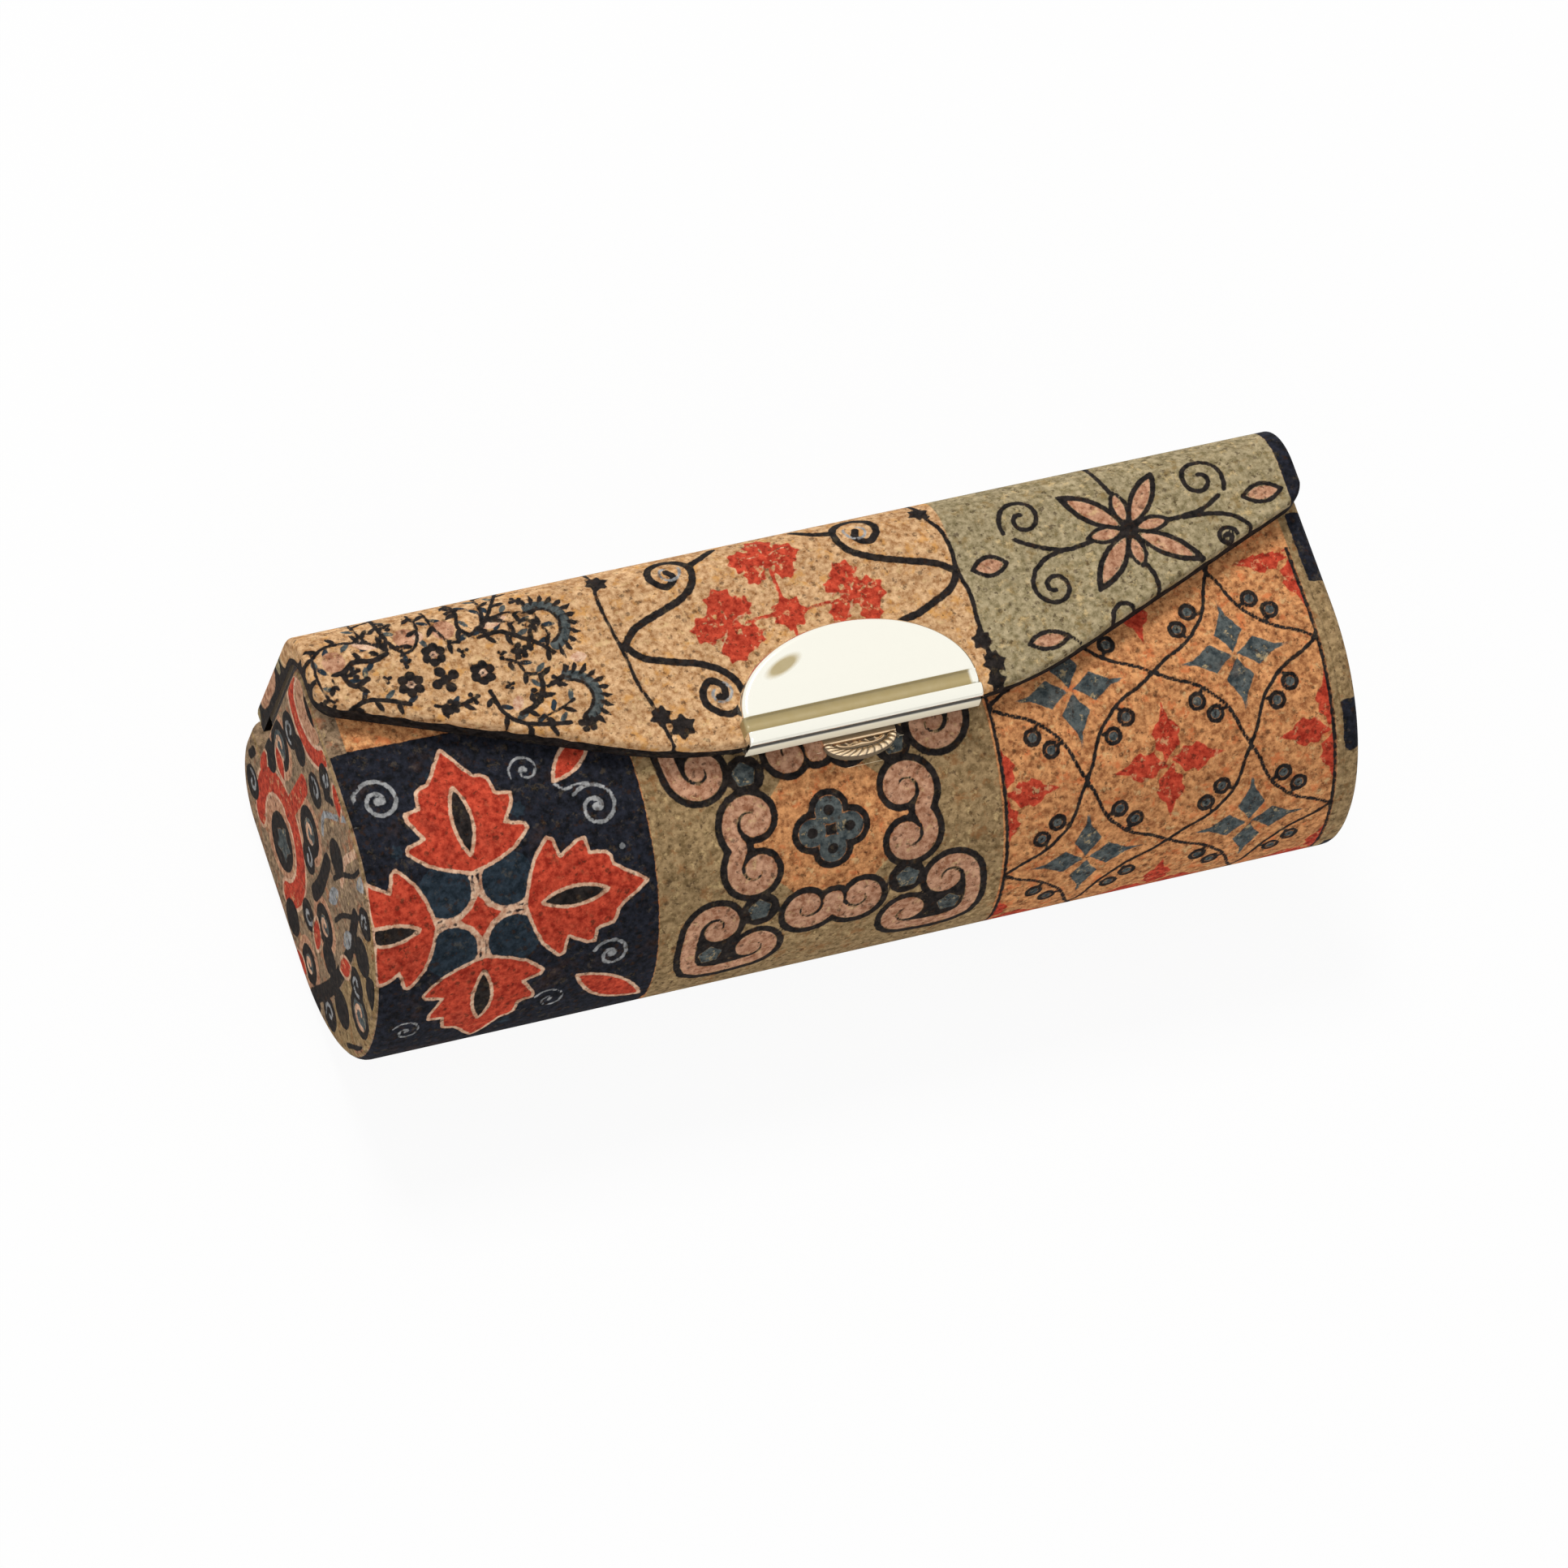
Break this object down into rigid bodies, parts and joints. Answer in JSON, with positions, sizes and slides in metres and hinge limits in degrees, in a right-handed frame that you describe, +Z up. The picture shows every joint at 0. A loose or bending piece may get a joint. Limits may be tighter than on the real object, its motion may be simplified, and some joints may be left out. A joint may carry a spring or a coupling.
{
  "type": "lipstick box",
  "caption": "Rigid lipstick case covered in patchwork-printed cork, with a hinged wrap-over lid, gilt half-moon clasp, roped push catch and a mirror inside the lid",
  "frame": {"origin": "centre of the flat bottom, on the surface it stands on", "axes": "+X along the case to the viewer's right, -Y toward the front with the catch, +Z up"},
  "size_m": [0.09, 0.0324, 0.0309],
  "materials": {
    "printed_cork": "matte",
    "stiff_board": "matte",
    "velvet": "matte",
    "pale_gold": "polished",
    "steel": "satin",
    "mirror_glass": "gloss"
  },
  "bodies": {
    "case": {"body_cover": "printed_cork", "body_shell": "stiff_board", "body_lining": "velvet", "end_cover_left": "printed_cork", "end_cover_right": "printed_cork", "end_board_left": "stiff_board", "end_board_right": "stiff_board", "end_lining_left": "velvet", "end_lining_right": "velvet", "catch_plate": "pale_gold", "catch_spring": "steel", "spring_bracket": "steel", "catch_rivet_left": "pale_gold", "catch_rivet_right": "pale_gold", "hinge_leaf_body": "pale_gold", "hinge_pin": "steel", "hinge_leaf_body_rivet_left": "pale_gold", "hinge_leaf_body_rivet_middle": "pale_gold", "hinge_leaf_body_rivet_right": "pale_gold"},
    "lid": {"lid_cover": "printed_cork", "lid_shell": "stiff_board", "lid_lining": "velvet", "mirror": "mirror_glass", "mirror_frame": "pale_gold", "hinge_leaf_lid": "pale_gold", "hinge_leaf_lid_rivet_left": "pale_gold", "hinge_leaf_lid_rivet_middle": "pale_gold", "hinge_leaf_lid_rivet_right": "pale_gold", "clasp_cap": "pale_gold", "clasp_backplate": "steel", "clasp_rivet_left": "pale_gold", "clasp_rivet_right": "pale_gold"},
    "button": {"catch_button": "pale_gold"}
  },
  "joints": [
    {"name": "lid_hinge", "type": "hinge", "parent": "case", "child": "lid", "pos_m": [0, 0.0151, 0.01], "axis": [-1, 0, 0], "range_deg": [0, 100]},
    {"name": "catch_press", "type": "slide", "parent": "case", "child": "button", "axis": [0, 0, -1], "range_m": [0, 0.0007], "stiffness_N_per_m": 400, "springref_m": -0.001, "deforming": ["catch_spring"]}
  ]
}
